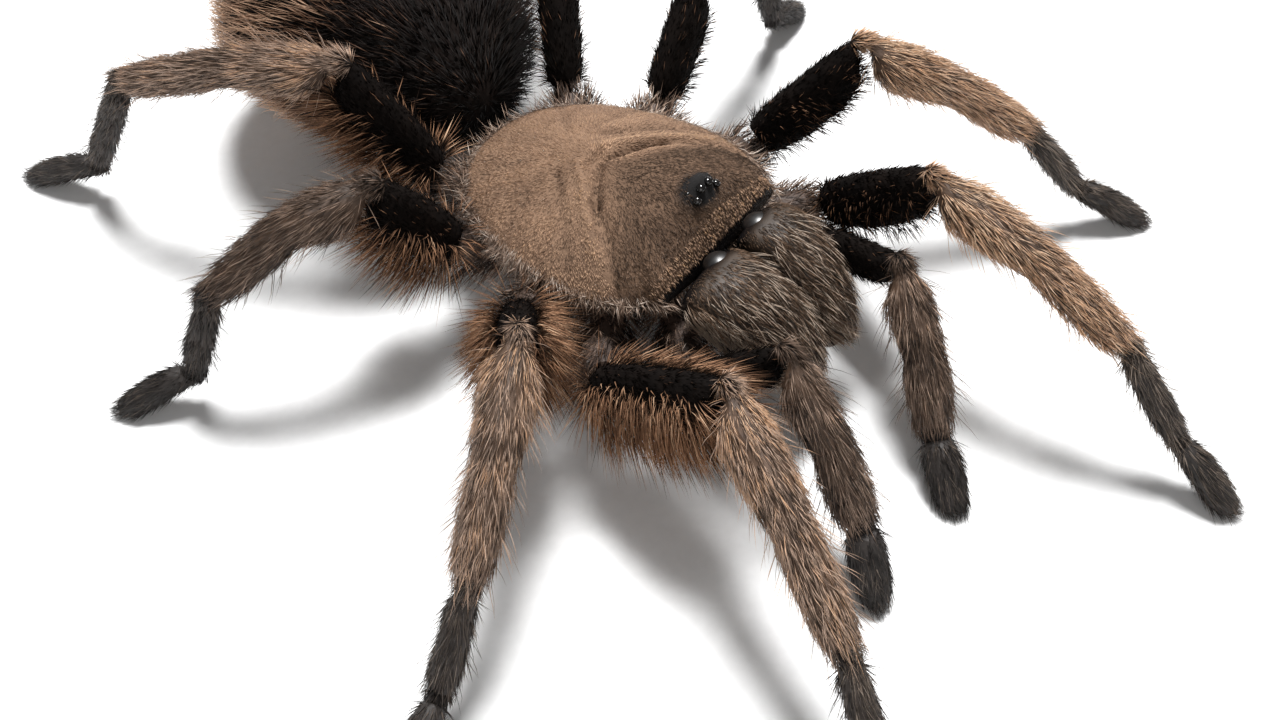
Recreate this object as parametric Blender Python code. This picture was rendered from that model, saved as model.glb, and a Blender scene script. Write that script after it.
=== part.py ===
"""Mounted tarantula, standing on its eight feet. Metres, +Z up, front towards -Y, its left side at +X."""

import bpy
import bmesh
import math
from mathutils import Matrix, Vector

MM = 0.001
GAP = 0.3  # clear space at every joint, mm
SIDES = 12  # facets round a leg

# carapace, mm, in its own plane before it is tilted
CARAPACE_HALF_LENGTH = 12.2
CARAPACE_HALF_WIDTH = 11.2
CARAPACE_FRONT_HALF_WIDTH = 7.4
CARAPACE_WIDEST_Y = -1.2
CARAPACE_PLACE = (-0.9, 0.1, 11.3)
CARAPACE_TILT = 2.6  # degrees, front up
CARAPACE_ROLL = 1.0  # degrees, its left side up
CARAPACE_TURN = 7.0  # degrees, front towards its left
DOME_RISE = 3.3
HEAD_RISE = 2.2
EYE_HILL = (0.0, -10.2, 1.1)  # x, y, extra rise
FOVEA = (0.0, -0.6, 1.5)  # x, y, depth

# abdomen, mm
ABDOMEN_FRONT = (0.0, 14.0, 10.0)
ABDOMEN_REAR = (0.0, 45.0, 11.0)
ABDOMEN_HALF_WIDTH = 13.5
ABDOMEN_HALF_HEIGHT = 10.8

# hip joints of the left side, mm; the right side mirrors them, and the palps turn with the head
HIPS = {
    "palp": (9.5, -16.5, 7.6),
    "leg_1": (14.0, -12.0, 7.4),
    "leg_2": (14.3, -3.9, 9.2),
    "leg_3": (12.4, 5.8, 9.3),
    "leg_4": (7.8, 13.1, 9.1),
}
# where each coxa starts beside the sternum, left side, mm
ROOTS = {
    "palp": (3.6, -9.6, 7.0),
    "leg_1": (5.6, -5.9, 7.0),
    "leg_2": (6.3, -1.3, 7.0),
    "leg_3": (5.9, 3.1, 7.0),
    "leg_4": (3.9, 7.0, 7.0),
}
# femur, patella, tibia, metatarsus, tarsus, mm; a palp has no metatarsus
LENGTHS = {
    "palp": (9.8, 6.7, 6.8, 6.2),
    "leg_1": (15.1, 9.2, 10.3, 9.0, 7.0),
    "leg_2": (13.0, 8.6, 9.0, 8.4, 7.9),
    "leg_3": (10.7, 6.4, 8.9, 8.8, 7.3),
    "leg_4": (13.2, 9.2, 11.9, 12.8, 8.6),
}
# per leg: headings from +X towards +Y, then climbs above level, both in degrees per part
STANCES = {
    "palp_left": ((-103, -118, -124, -122), (24, -30, -45)),
    "palp_right": ((283, 260, 254, 245), (41, -34, -48)),
    "leg_1_left": ((-95, -88, -82, -85, -88), (41, -8, -29, -47)),
    "leg_1_right": ((273, 249, 247, 247, 247), (33, -13, -23, -44)),
    "leg_2_left": ((-46, -47, -47, -50, -50), (48, -22, -34, -49)),
    "leg_2_right": ((228, 215, 209, 198, 199), (39, -15, -36, -51)),
    "leg_3_left": ((13, 13, 13, 14, 14), (51, -3, -38, -69)),
    "leg_3_right": ((161, 157, 153, 149, 148), (52, -7, -36, -69)),
    "leg_4_left": ((52, 52, 52, 52, 52), (52, -1, -23, -61)),
    "leg_4_right": ((125, 124, 118, 115, 118), (55, -5, -20, -62)),
}

# stations along a part: share of its length, half width, half height, drop, mm
COXA = ((0.0, 1.55, 1.6, 0.0), (0.35, 1.85, 1.9, 0.0), (0.75, 2.0, 1.9, 0.0), (1.0, 1.8, 1.85, 0.0))
FEMUR = (
    (0.0, 1.85, 2.1, 0.0),
    (0.2, 2.15, 2.7, 0.2),
    (0.5, 2.2, 3.0, 0.35),
    (0.8, 2.2, 2.75, 0.2),
    (1.0, 1.85, 2.05, 0.0),
)
PATELLA = ((0.0, 1.85, 1.9, 0.0), (0.3, 2.3, 2.35, 0.0), (0.75, 2.25, 2.25, 0.0))
TIBIA = ((0.0, 1.75, 1.75, 0.0), (0.2, 1.95, 1.95, 0.0), (0.75, 1.8, 1.8, 0.0), (1.0, 1.35, 1.35, 0.0))
METATARSUS = ((0.0, 1.2, 1.2, 0.0), (0.2, 1.3, 1.35, 0.0), (0.75, 1.5, 1.4, 0.0), (1.0, 1.2, 1.15, 0.0))
TARSUS = (
    (0.0, 1.1, 1.1, 0.0),
    (0.2, 1.35, 1.3, 0.0),
    (0.5, 1.5, 1.35, 0.2),
    (0.74, 1.55, 1.3, 0.6),
    (0.92, 1.25, 1.0, 0.7),
    (1.0, 0.7, 0.55, 0.5),
)
PALP_COXA = ((0.0, 1.45, 1.5, 0.0), (0.35, 1.7, 1.8, 0.0), (0.75, 1.75, 1.8, 0.0), (1.0, 1.6, 1.65, 0.0))
PALP_FEMUR = (
    (0.0, 1.5, 1.7, 0.0),
    (0.2, 1.7, 2.0, 0.1),
    (0.5, 1.75, 2.15, 0.15),
    (0.8, 1.75, 2.05, 0.1),
    (1.0, 1.6, 1.75, 0.0),
)
PALP_PATELLA = ((0.0, 1.6, 1.65, 0.0), (0.3, 2.1, 2.1, 0.0), (0.75, 2.0, 2.0, 0.0))
PALP_TIBIA = ((0.0, 1.75, 1.75, 0.0), (0.25, 2.05, 2.05, 0.0), (0.75, 1.95, 1.95, 0.0), (1.0, 1.5, 1.5, 0.0))
PALP_TARSUS = (
    (0.0, 1.4, 1.35, 0.0),
    (0.2, 1.7, 1.6, 0.0),
    (0.5, 1.75, 1.55, 0.2),
    (0.74, 1.6, 1.3, 0.6),
    (0.92, 1.25, 1.0, 0.7),
    (1.0, 0.7, 0.55, 0.5),
)
FOOT_TIP_Z = 1.0

for old in list(bpy.data.objects):
    bpy.data.objects.remove(old, do_unlink=True)


def material(name, colour, roughness):
    made = bpy.data.materials.new(name)
    made.use_nodes = True
    shader = made.node_tree.nodes["Principled BSDF"]
    shader.inputs["Base Color"].default_value = (*colour, 1.0)
    shader.inputs["Roughness"].default_value = roughness
    return made


def solid(name, points, faces, colour, roughness=0.8):
    """One closed body from points in mm."""
    shape = bmesh.new()
    corners = [shape.verts.new(p) for p in points]
    for face in faces:
        shape.faces.new([corners[i] for i in face])
    bmesh.ops.recalc_face_normals(shape, faces=shape.faces)
    bmesh.ops.triangulate(shape, faces=[f for f in shape.faces if len(f.verts) > 3])
    mesh = bpy.data.meshes.new(name)
    shape.to_mesh(mesh)
    shape.free()
    mesh.materials.append(material(name + "_skin", colour, roughness))
    thing = bpy.data.objects.new(name, mesh)
    bpy.context.scene.collection.objects.link(thing)
    return thing


def skin_rings(rings):
    """Faces over a stack of rings of the same count, with both ends capped."""
    count = len(rings[0])
    faces = []
    for r in range(len(rings) - 1):
        for k in range(count):
            n = (k + 1) % count
            faces.append((r * count + k, r * count + n, (r + 1) * count + n, (r + 1) * count + k))
    faces.append(tuple(range(count))[::-1])
    last = (len(rings) - 1) * count
    faces.append(tuple(last + k for k in range(count)))
    return faces


def loft(name, rings, colour, roughness=0.8):
    points = [p for ring in rings for p in ring]
    return solid(name, points, skin_rings(rings), colour, roughness)


def towards(heading, climb):
    h = math.radians(heading)
    c = math.radians(climb)
    return Vector((math.cos(h) * math.cos(c), math.sin(h) * math.cos(c), math.sin(c)))


def ring(centre, along, plane, half_width, half_height, sides=SIDES):
    """An oval round the line, slid along it into the plane."""
    across = Vector((0, 0, 1)).cross(along).normalized()
    up = along.cross(across)
    points = []
    for k in range(sides):
        a = 2 * math.pi * (k + 0.5) / sides
        v = across * (half_width * math.cos(a)) + up * (half_height * math.sin(a))
        v -= along * (v.dot(plane) / along.dot(plane))
        points.append(centre + v)
    return points


def pressed(points, drop):
    """Lowered, and flattened where it meets the ground."""
    return [Vector((p.x, p.y, max(0.0, p.z - drop))) for p in points]


def part_rings(start, end, stations, plane_in, plane_out):
    """Rings of one straight part; near a joint they lean into the joint's plane."""
    along = (end - start).normalized()
    length = (end - start).length
    rings = []
    for share, half_width, half_height, drop in stations:
        near = share * length
        far = (1 - share) * length
        lean_in = max(0.0, 1 - near / (2.2 * half_height))
        lean_out = max(0.0, 1 - far / (2.2 * half_height))
        plane = along + (plane_in - along) * lean_in
        plane = (plane + (plane_out - along) * lean_out).normalized()
        centre = start + along * near
        rings.append(pressed(ring(centre, along, plane, half_width, half_height), drop))
    return rings


def moved(rings, which, by):
    rings[which] = [p + by for p in rings[which]]
    return rings


def limb(name, kind, mirror, tones):
    """A whole leg or palp: one closed body per part, a small gap at every joint."""
    hip = Vector(HIPS[kind])
    root = Vector(ROOTS[kind])
    if mirror:
        hip.x = -hip.x
        root.x = -root.x
    if kind == "palp":
        turn = Matrix.Rotation(math.radians(CARAPACE_TURN), 3, "Z")
        slide = Vector((CARAPACE_PLACE[0], CARAPACE_PLACE[1], 0))
        hip = turn @ hip + slide
        root = turn @ root + slide
    headings, climbs = STANCES[name]
    lengths = LENGTHS[kind]
    spots = [root, hip]
    for heading, climb, length in zip(headings, climbs, lengths):
        spots.append(spots[-1] + towards(heading, climb) * length)
    fall = (FOOT_TIP_Z - spots[-1].z) / lengths[-1]
    spots.append(spots[-1] + towards(headings[-1], math.degrees(math.asin(fall))) * lengths[-1])

    lines = [(b - a).normalized() for a, b in zip(spots, spots[1:])]
    planes = [lines[0]] + [(a + b).normalized() for a, b in zip(lines, lines[1:])] + [lines[-1]]
    half = GAP / 2

    def piece(label, first, count, stations, colour):
        rings = []
        for i in range(count):
            j = first + i
            rings += part_rings(spots[j], spots[j + 1], stations[i], planes[j], planes[j + 1])
        if first > 0:
            moved(rings, 0, lines[first] * (half / lines[first].dot(planes[first])))
        last = first + count
        if last < len(lines):
            moved(rings, -1, -lines[last - 1] * (half / lines[last - 1].dot(planes[last])))
        return loft(name + "_" + label, rings, colour)

    if kind == "palp":
        piece("coxa", 0, 1, (PALP_COXA,), tones[0])
        piece("femur", 1, 1, (PALP_FEMUR,), tones[1])
        piece("patella_tibia", 2, 2, (PALP_PATELLA, PALP_TIBIA), tones[2])
        piece("tarsus", 4, 1, (PALP_TARSUS,), tones[4])
    else:
        piece("coxa", 0, 1, (COXA,), tones[0])
        piece("femur", 1, 1, (FEMUR,), tones[1])
        piece("patella_tibia", 2, 2, (PATELLA, TIBIA), tones[2])
        piece("metatarsus", 4, 1, (METATARSUS,), tones[3])
        piece("tarsus", 5, 1, (TARSUS,), tones[4])


def rim_half_width(y):
    """Half width of the carapace's outline at y."""
    a = CARAPACE_HALF_LENGTH
    b = CARAPACE_HALF_WIDTH
    c = CARAPACE_FRONT_HALF_WIDTH
    m = CARAPACE_WIDEST_Y
    if y < m:
        return c + (b - c) * math.sin(math.pi / 2 * (y + a) / (m + a))
    return b * math.sqrt(max(0.0, 1 - ((y - m) / (a - m)) ** 2))


def bump(x, y, cx, cy, rx, ry):
    return math.exp(-(((x - cx) / rx) ** 2) - ((y - cy) / ry) ** 2)


def carapace_rise(x, y, share):
    """Height of the shield over its rim; share is 0 at its middle and 1 at its rim."""
    reach = math.hypot(x, y - FOVEA[1])
    turn = math.degrees(math.atan2(y - FOVEA[1], abs(x)))
    steep = 2.6 + 6.0 * math.exp(-(((turn + 90) / 40) ** 2))
    dome = DOME_RISE * max(0.0, 1 - share ** steep) ** 0.75
    inside = max(0.0, 1 - share ** 9)
    head = HEAD_RISE * bump(x, y, 0, -8.2, 5.8, 5.6) * inside
    eyes = EYE_HILL[2] * bump(x, y, EYE_HILL[0], EYE_HILL[1], 1.9, 1.5)
    pit = FOVEA[2] * bump(x, y, FOVEA[0], FOVEA[1], 2.4, 0.9)
    grooves = 0.0
    for angle, depth, spread in ((-40, 0.65, 6), (-15, 0.35, 5), (12, 0.3, 6), (42, 0.3, 7)):
        grooves += depth * math.exp(-(((turn - angle) / spread) ** 2))
    grooves *= math.exp(-(((reach - 5.5) / 3.6) ** 2))
    return dome + head + eyes - pit - grooves


def on_head(p):
    """From the carapace's own plane, z from its rim, to where it stands."""
    roll = Matrix.Rotation(math.radians(-CARAPACE_ROLL), 3, "Y")
    tilt = Matrix.Rotation(math.radians(-CARAPACE_TILT), 3, "X")
    turn = Matrix.Rotation(math.radians(CARAPACE_TURN), 3, "Z")
    return turn @ (tilt @ (roll @ Vector(p))) + Vector(CARAPACE_PLACE)


def outline_of_carapace(rays):
    """Points of the rim at even angles round the pit."""
    dense = []
    steps = 400
    a = CARAPACE_HALF_LENGTH
    for i in range(steps + 1):
        y = -a + 2 * a * (1 - math.cos(math.pi * i / steps)) / 2
        dense.append((rim_half_width(y), y))
    front = [(CARAPACE_FRONT_HALF_WIDTH * i / 60, -a - 0.5 * (1 - (i / 60) ** 2)) for i in range(60)]
    dense = front + dense
    points = []
    for k in range(rays):
        angle = 2 * math.pi * (k + 0.5) / rays - math.pi / 2
        want = math.atan2(math.sin(angle), abs(math.cos(angle)))
        best = min(dense, key=lambda p: abs(math.atan2(p[1] - FOVEA[1], max(p[0], 1e-9)) - want))
        points.append((math.copysign(best[0], math.cos(angle)), best[1]))
    return points


def carapace():
    rays = 44
    shares = (0.09, 0.2, 0.34, 0.48, 0.62, 0.75, 0.86, 0.94, 0.985)
    rim = outline_of_carapace(rays)
    rings = []
    for share in shares:
        row = []
        for x, y in rim:
            px = FOVEA[0] + (x - FOVEA[0]) * share
            py = FOVEA[1] + (y - FOVEA[1]) * share
            row.append(on_head((px, py, carapace_rise(px, py, share))))
        rings.append(row)
    rings.append([on_head((x, y, 0.1)) for x, y in rim])
    for share, z in ((0.985, -0.25), (0.9, 0.0), (0.6, 0.7)):
        rings.append([on_head((FOVEA[0] + x * share, FOVEA[1] + (y - FOVEA[1]) * share, z)) for x, y in rim])
    return loft("carapace", rings, (0.22, 0.14, 0.085), 0.7)


def oval_rings(stations, sides, round_off=1.0):
    """Upright ovals along Y: y, x, z, half width, rise above, fall below; squarer when round_off is under 1."""
    rings = []
    for y, x, z, half_width, above, below in stations:
        row = []
        for k in range(sides):
            a = 2 * math.pi * (k + 0.5) / sides
            wide = math.copysign(abs(math.cos(a)) ** round_off, math.cos(a))
            tall = math.copysign(abs(math.sin(a)) ** round_off, math.sin(a))
            row.append(Vector((x + half_width * wide, y, z + (above if tall > 0 else below) * tall)))
        rings.append(row)
    return rings


def abdomen():
    front = Vector(ABDOMEN_FRONT)
    rear = Vector(ABDOMEN_REAR)
    profile = (
        (0.0, 0.16), (0.03, 0.33), (0.1, 0.55), (0.2, 0.74), (0.33, 0.9), (0.48, 0.98),
        (0.62, 1.0), (0.75, 0.93), (0.86, 0.78), (0.94, 0.56), (0.985, 0.3), (1.0, 0.12),
    )
    stations = []
    for share, size in profile:
        spot = front.lerp(rear, share)
        lift = 3.0 * math.sin(math.pi * share)
        high = ABDOMEN_HALF_HEIGHT * size
        stations.append((spot.y, spot.x, spot.z + lift, ABDOMEN_HALF_WIDTH * size, high, high * 0.92))
    return loft("abdomen", oval_rings(stations, 28), (0.035, 0.022, 0.015), 0.9)


def chelicera(name, side):
    stations = (
        (-13.0, 3.5, -0.6, 3.2, 1.9, 1.6),
        (-13.6, 3.6, -0.3, 3.4, 2.5, 2.2),
        (-15.2, 3.65, -0.1, 3.45, 2.9, 2.9),
        (-17.2, 3.5, -0.8, 3.3, 3.3, 3.7),
        (-19.2, 3.25, -2.0, 3.0, 3.5, 3.7),
        (-21.0, 3.05, -3.4, 2.6, 3.2, 2.8),
        (-22.3, 2.8, -4.5, 2.0, 2.5, 1.9),
        (-23.1, 2.7, -5.2, 1.1, 1.4, 1.0),
    )
    mirrored = [(y, side * x, z, w, up, down) for y, x, z, w, up, down in stations]
    rings = [[on_head(p) for p in row] for row in oval_rings(mirrored, 16, 0.8)]
    return loft(name, rings, (0.13, 0.1, 0.075), 0.75)


def fang(name, side):
    rings = []
    for i in range(7):
        t = i / 6
        turn = math.radians(20 + 140 * t)
        centre = Vector((side * (2.8 - 0.4 * t), -18.4 - 3.2 * math.cos(turn), -7.2 - 1.5 * math.sin(turn)))
        along = Vector((0, math.sin(turn) * 3.2, -math.cos(turn) * 1.5)).normalized()
        size = 0.75 * (1 - t) + 0.14
        rings.append([on_head(p) for p in ring(centre, along, along, size, size, 8)])
    return loft(name, rings, (0.02, 0.012, 0.01), 0.25)


def sternum():
    levels = ((4.9, 0.72), (5.3, 0.92), (6.6, 1.0), (8.8, 1.0), (10.4, 0.9), (10.7, 0.8))
    rings = []
    for z, size in levels:
        row = []
        for k in range(24):
            a = 2 * math.pi * (k + 0.5) / 24
            row.append(Vector((3.9 * size * math.cos(a), -1.2 + 7.0 * size * math.sin(a), z)))
        rings.append(row)
    return loft("sternum", rings, (0.05, 0.035, 0.03), 0.7)


def pedicel():
    rings = []
    for y, z in ((6.4, 8.3), (9.5, 8.2), (13.2, 9.6)):
        rings.append(ring(Vector((0, y, z)), Vector((0, 1, 0)), Vector((0, 1, 0)), 1.0, 1.0, 10))
    return loft("pedicel", rings, (0.06, 0.045, 0.04), 0.6)


def spinneret(name, side):
    rings = []
    for t, size in ((0.0, 0.95), (0.25, 1.05), (0.5, 0.9), (0.55, 0.85), (0.85, 0.7), (1.0, 0.3)):
        centre = Vector((side * (1.5 + 1.6 * t), 44.5 + 5.2 * t, 6.7 + 0.8 * t))
        along = Vector((side * 1.6, 5.2, 0.8)).normalized()
        rings.append(ring(centre, along, along, size, size, 10))
    return loft(name, rings, (0.06, 0.04, 0.03), 0.85)


def stand_at_origin():
    """Slides everything so that the middle of its footprint is at the origin."""
    everything = [o for o in bpy.context.scene.objects if o.type == "MESH"]
    points = [v.co for o in everything for v in o.data.vertices]
    low = [min(p[i] for p in points) for i in range(3)]
    high = [max(p[i] for p in points) for i in range(3)]
    shift = Vector((-(low[0] + high[0]) / 2, -(low[1] + high[1]) / 2, -low[2]))
    for thing in everything:
        thing.data.transform(Matrix.Scale(MM, 4) @ Matrix.Translation(shift))
    print("shift", [round(c, 3) for c in shift])


TONES = ((0.12, 0.09, 0.075), (0.02, 0.014, 0.011), (0.2, 0.13, 0.08), (0.07, 0.05, 0.04), (0.045, 0.037, 0.033))
carapace()
sternum()
pedicel()
abdomen()
for side_name, side_sign in (("left", 1), ("right", -1)):
    chelicera("chelicera_" + side_name, side_sign)
    fang("fang_" + side_name, side_sign)
    spinneret("spinneret_" + side_name, side_sign)
    for limb_kind in HIPS:
        limb(limb_kind + "_" + side_name, limb_kind, side_sign < 0, TONES)
stand_at_origin()
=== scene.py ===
# %% [markdown]
# # A mounted tarantula
# A dry spider is a stack of hard shells, joined by thin skin and covered in hair of many lengths. The
# shells come ready made as solids. This notebook dresses them: skin first, then eyes, then hair, area by
# area. Hair could be a particle system, but real meshes survive an export, so every hair here is a tiny
# closed spindle.

# %% Load the solids
import math
import bpy
import numpy as np
from mathutils import Matrix, Vector


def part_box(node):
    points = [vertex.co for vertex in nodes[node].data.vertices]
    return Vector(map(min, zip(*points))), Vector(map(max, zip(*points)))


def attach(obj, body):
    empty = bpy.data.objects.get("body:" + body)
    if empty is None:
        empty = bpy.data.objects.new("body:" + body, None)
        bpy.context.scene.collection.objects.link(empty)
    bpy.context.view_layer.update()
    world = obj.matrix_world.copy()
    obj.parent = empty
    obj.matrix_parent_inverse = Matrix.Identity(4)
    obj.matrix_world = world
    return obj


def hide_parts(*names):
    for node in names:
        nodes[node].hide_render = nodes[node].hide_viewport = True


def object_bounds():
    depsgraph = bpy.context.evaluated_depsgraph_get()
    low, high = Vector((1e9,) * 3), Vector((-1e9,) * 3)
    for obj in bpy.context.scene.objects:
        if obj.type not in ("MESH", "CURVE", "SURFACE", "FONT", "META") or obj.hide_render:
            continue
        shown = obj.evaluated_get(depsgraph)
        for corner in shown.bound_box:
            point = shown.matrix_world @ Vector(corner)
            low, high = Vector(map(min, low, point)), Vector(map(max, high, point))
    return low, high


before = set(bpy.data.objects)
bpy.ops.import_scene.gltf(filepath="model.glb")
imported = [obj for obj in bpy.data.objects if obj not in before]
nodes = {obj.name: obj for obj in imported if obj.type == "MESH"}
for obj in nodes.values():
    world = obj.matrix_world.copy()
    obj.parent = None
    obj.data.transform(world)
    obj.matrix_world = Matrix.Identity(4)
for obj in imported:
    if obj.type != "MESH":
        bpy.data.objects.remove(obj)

solid_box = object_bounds()
print("solids", len(nodes), "box", [[round(c, 4) for c in v] for v in solid_box])

# %% [markdown]
# ## Camera
# The photo looks down on the spider from in front of its right side, close up, and crops the abdomen and
# some feet. A turn, a height and a distance place the camera, and the lens comes from how strongly near
# legs grow.

# %% Camera
MM = 0.001
LOOK_AT = Vector((-6.57, -9.83, 6.0)) * MM
CAMERA_TURN = -46.5  # degrees round Z from straight in front
CAMERA_HEIGHT = 50.1  # degrees above the ground
CAMERA_DISTANCE = 119.75 * MM
LENS = 41.72
SENSOR_WIDTH = 36
CLIP_START = 0.005  # m


def camera_matrix():
    turn = math.radians(CAMERA_TURN)
    height = math.radians(CAMERA_HEIGHT)
    back = Vector((math.sin(turn) * math.cos(height), -math.cos(turn) * math.cos(height), math.sin(height)))
    right = Vector((math.cos(turn), math.sin(turn), 0))
    up = back.cross(right)
    place = LOOK_AT + back * CAMERA_DISTANCE
    return Matrix.Translation(place) @ Matrix((right, up, back)).transposed().to_4x4()


eye = bpy.data.cameras.new("camera")
eye.lens = LENS
eye.sensor_width = SENSOR_WIDTH
eye.clip_start = CLIP_START
camera = bpy.data.objects.new("camera", eye)
camera.matrix_world = camera_matrix()
bpy.context.scene.collection.objects.link(camera)
bpy.context.scene.camera = camera
print("camera at", [round(c, 4) for c in camera.matrix_world.translation])

# %% [markdown]
# ## Shader sums
# A finish is a small network of nodes. Writing the sums as Python expressions keeps them readable, so one
# class wraps a socket and turns +, - and * into Math nodes, and one method adds any other kind of node.

# %% Shader helper
class Wire:
    """One output of a shader node, usable in sums."""

    def __init__(self, finish, socket):
        self.finish = finish
        self.socket = socket

    def math(self, operation, first, second):
        return self.finish.add("ShaderNodeMath", {"operation": operation}, {0: first, 1: second})

    def __add__(self, other):
        return self.math("ADD", self, other)

    __radd__ = __add__

    def __mul__(self, other):
        return self.math("MULTIPLY", self, other)

    __rmul__ = __mul__

    def __sub__(self, other):
        return self.math("SUBTRACT", self, other)

    def __rsub__(self, other):
        return self.math("SUBTRACT", other, self)


class Finish:
    """A Principled material under construction."""

    def __init__(self, name, **constants):
        self.material = bpy.data.materials.new(name)
        self.material.use_nodes = True
        self.tree = self.material.node_tree
        self.shader = self.tree.nodes["Principled BSDF"]
        for label, value in constants.items():
            self.shader.inputs[label.replace("_", " ")].default_value = value

    def add(self, kind, settings=None, values=None, output=0):
        node = self.tree.nodes.new(kind)
        for label, value in (settings or {}).items():
            if label == "stops":
                self.set_stops(node.color_ramp, value)
            else:
                setattr(node, label, value)
        for label, value in (values or {}).items():
            self.feed(node.inputs[label], value)
        return Wire(self, node.outputs[output])

    def set_stops(self, ramp, stops):
        while len(ramp.elements) < len(stops):
            ramp.elements.new(0.5)
        for element, (place, colour) in zip(ramp.elements, stops):
            element.position = place
            element.color = (*colour, 1.0) if len(colour) == 3 else colour

    def feed(self, socket, value):
        if isinstance(value, Wire):
            self.tree.links.new(value.socket, socket)
        else:
            socket.default_value = value

    def shade(self, label, value):
        self.feed(self.shader.inputs[label], value)
        return self

    def blend(self, factor, first, second, kind="MIX"):
        settings = {"data_type": "RGBA", "blend_type": kind}
        return self.add("ShaderNodeMix", settings, {0: factor, 6: first, 7: second}, 2)

    def ramp(self, factor, stops):
        return self.add("ShaderNodeValToRGB", {"stops": stops}, {0: factor})

    def noise(self, where, scale, detail=4.0, roughness=0.6):
        values = {"Vector": where, "Scale": scale, "Detail": detail, "Roughness": roughness}
        return self.add("ShaderNodeTexNoise", {}, values)

    def vector(self, operation, first, second):
        return self.add("ShaderNodeVectorMath", {"operation": operation}, {0: first, 1: second})

    def part(self, where, number):
        """One of the three numbers of a place."""
        return self.add("ShaderNodeSeparateXYZ", {}, {0: where}, number)

    def clamp(self, value):
        return self.add("ShaderNodeClamp", {}, {0: value})

    def place(self):
        return self.add("ShaderNodeTexCoord", {}, {}, 3)

    def bump(self, height, distance, strength=1.0):
        return self.add("ShaderNodeBump", {}, {"Strength": strength, "Distance": distance, "Height": height})


def srgb(r, g, b):
    """A colour as seen on a screen, 0 to 255, turned into the light it stands for."""
    shares = (r / 255, g / 255, b / 255)
    return tuple(c / 12.92 if c <= 0.04045 else ((c + 0.055) / 1.055) ** 2.4 for c in shares)


print("shader helper ready")

# %% [markdown]
# ## Floor
# The specimen stands on a plain white sheet, which is stage and not part of it.

# %% Floor
FLOOR_HALF = 1.5


def floor():
    mesh = bpy.data.meshes.new("floor")
    h = FLOOR_HALF
    mesh.from_pydata([(-h, -h, 0), (h, -h, 0), (h, h, 0), (-h, h, 0)], [], [(0, 1, 2, 3)])
    sheet = bpy.data.objects.new("floor", mesh)
    bpy.context.scene.collection.objects.link(sheet)
    paper = Finish("white_paper", Roughness=0.9, Specular_IOR_Level=0.2)
    grain = paper.noise(paper.place(), 900.0, 2.0)
    paper.shade("Base Color", paper.ramp(grain, [(0.3, (0.9, 0.9, 0.9)), (0.7, (0.94, 0.94, 0.94))]))
    mesh.materials.append(paper.material)


floor()
print("floor", 2 * FLOOR_HALF, "m across")

# %% [markdown]
# ## Light
# One soft lamp hangs overhead, a little behind and to the spider's left, so each leg has a slim shadow
# with blurred edges on the near side. A weak wide lamp in front and a pale room fill the rest.

# %% Lights
KEY_PLACE = (0.174, 0.122, 0.6)
KEY_SIZE = 0.22
KEY_POWER = 7.8
FILL_PLACE = (-0.36, -0.36, 0.3)
FILL_SIZE = 0.45
FILL_POWER = 0.75
ROOM_COLOUR = (0.97, 0.985, 1.0, 1.0)
ROOM_STRENGTH = 0.17


def lamp(name, place, aim, size, power, colour=(1, 1, 1)):
    light = bpy.data.lights.new(name, "AREA")
    light.shape = "DISK"
    light.size = size
    light.energy = power
    light.color = colour
    holder = bpy.data.objects.new(name, light)
    way = Vector(aim) - Vector(place)
    holder.matrix_world = Matrix.Translation(place) @ way.to_track_quat("-Z", "Y").to_matrix().to_4x4()
    bpy.context.scene.collection.objects.link(holder)


lamp("key", KEY_PLACE, (0, 0, 0), KEY_SIZE, KEY_POWER)
lamp("fill", FILL_PLACE, (0, 0, 0.01), FILL_SIZE, FILL_POWER, (1.0, 0.98, 0.96))
world = bpy.data.worlds.new("studio")
world.use_nodes = True
background = world.node_tree.nodes["Background"]
background.inputs["Color"].default_value = ROOM_COLOUR
background.inputs["Strength"].default_value = ROOM_STRENGTH
bpy.context.scene.world = world
bpy.context.scene.view_settings.view_transform = "Standard"

# %% [markdown]
# ## Skin
# Under the hair lies dark, slightly leathery shell. The solids reach the tips of the short hair, so the
# skin is the same solid, smoothed by a subdivision and drawn in by a fraction of a millimetre, which
# leaves room for the hair to stand in.

# %% Skin modifiers
WELD_DISTANCE = 1e-6


def draw_in(node, depth, levels):
    """Smooths a solid and pulls its skin inwards by depth in metres."""
    thing = nodes[node]
    weld = thing.modifiers.new("weld", "WELD")
    weld.merge_threshold = WELD_DISTANCE
    smooth = thing.modifiers.new("smooth", "SUBSURF")
    smooth.levels = smooth.render_levels = levels
    pull = thing.modifiers.new("pull", "DISPLACE")
    pull.direction = "NORMAL"
    pull.mid_level = 0.0
    pull.strength = -depth


def dress(node, finish):
    thing = nodes[node]
    thing.data.materials.clear()
    thing.data.materials.append(finish.material)


DEPTHS = {
    "carapace": 0.12, "sternum": 0.2, "pedicel": 0.1, "abdomen": 0.9, "chelicera": 0.2, "fang": 0.0,
    "spinneret": 0.2, "coxa": 0.3, "femur": 0.4, "patella_tibia": 0.35, "metatarsus": 0.25, "tarsus": 0.2,
}  # mm
FINE = ("chelicera", "fang")


def kind_of(node):
    return next(kind for kind in DEPTHS if kind in node)


for node in nodes:
    draw_in(node, DEPTHS[kind_of(node)] * MM, 2 if kind_of(node) in FINE else 1)
print("smoothed", len(nodes), "solids")

# %% [markdown]
# ## Bare shell finishes
# Shell is dark brown, almost black on femur and abdomen, and lighter where it is thin. Coarse noise gives
# the mottling, and a fine one gives the pores.

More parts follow.
